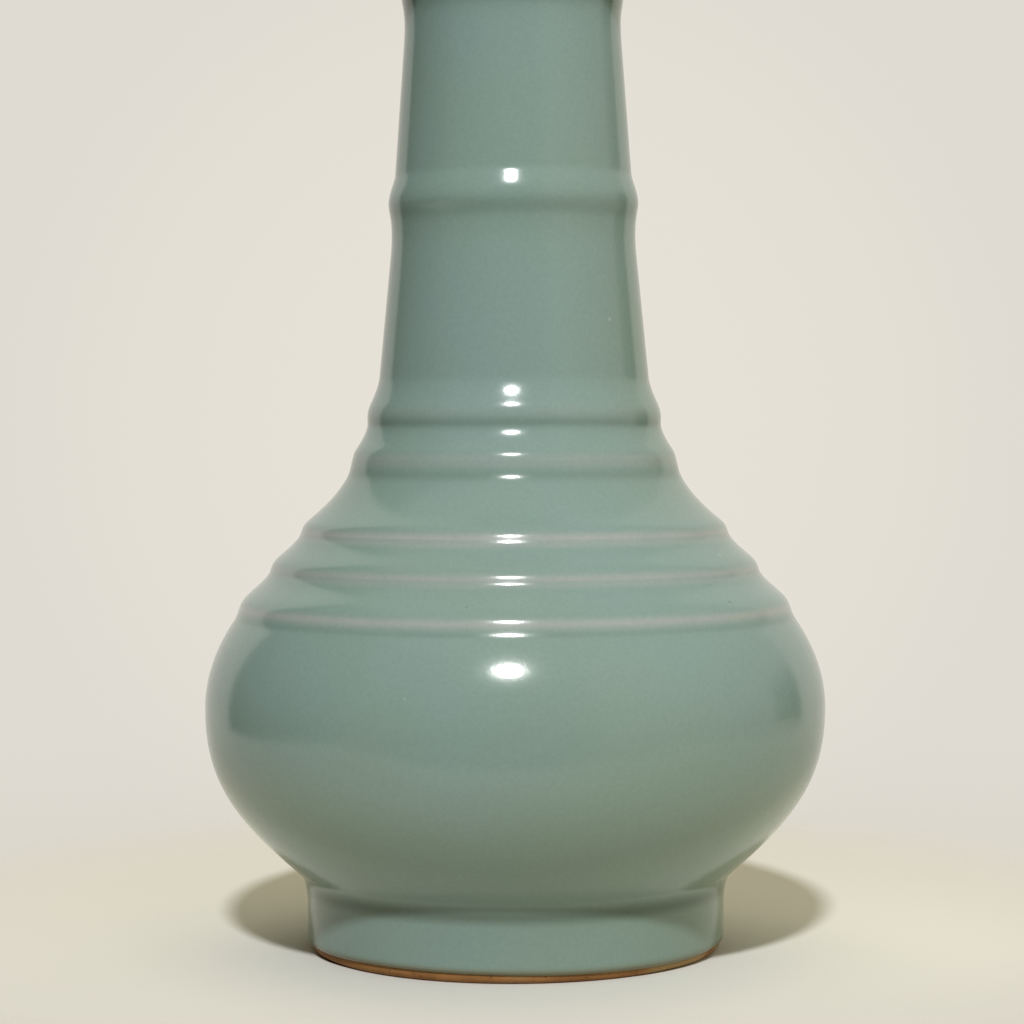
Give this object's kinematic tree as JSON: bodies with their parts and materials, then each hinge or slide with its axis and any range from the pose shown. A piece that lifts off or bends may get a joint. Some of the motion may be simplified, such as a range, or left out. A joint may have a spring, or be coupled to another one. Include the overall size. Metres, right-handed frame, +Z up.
{
  "type": "dish-mouth vase",
  "caption": "Celadon vase with a flattened globular belly, stepped ribbed shoulder, tall bamboo-ribbed neck, dish mouth and ring foot; stands on its foot and holds flowers.",
  "frame": {"origin": "centre of the foot ring's standing plane", "axes": "+Z up along the axis of revolution, from the foot to the dish mouth; the vase is alike all round"},
  "size_m": [0.18, 0.18, 0.3129],
  "materials": {
    "celadon_glaze": "glossy",
    "stoneware": "matte",
    "burnt_foot": "matte",
    "slip": "matte"
  },
  "bodies": {
    "root": {"foot_ring": "burnt_foot", "belly": "stoneware", "shoulder": "stoneware", "neck": "stoneware", "dish_mouth": "stoneware", "foot_slip": "slip", "belly_slip": "slip", "neck_slip": "slip", "mouth_slip": "slip", "outer_glaze": "celadon_glaze", "inner_glaze": "celadon_glaze", "base_glaze": "celadon_glaze"}
  },
  "joints": []
}
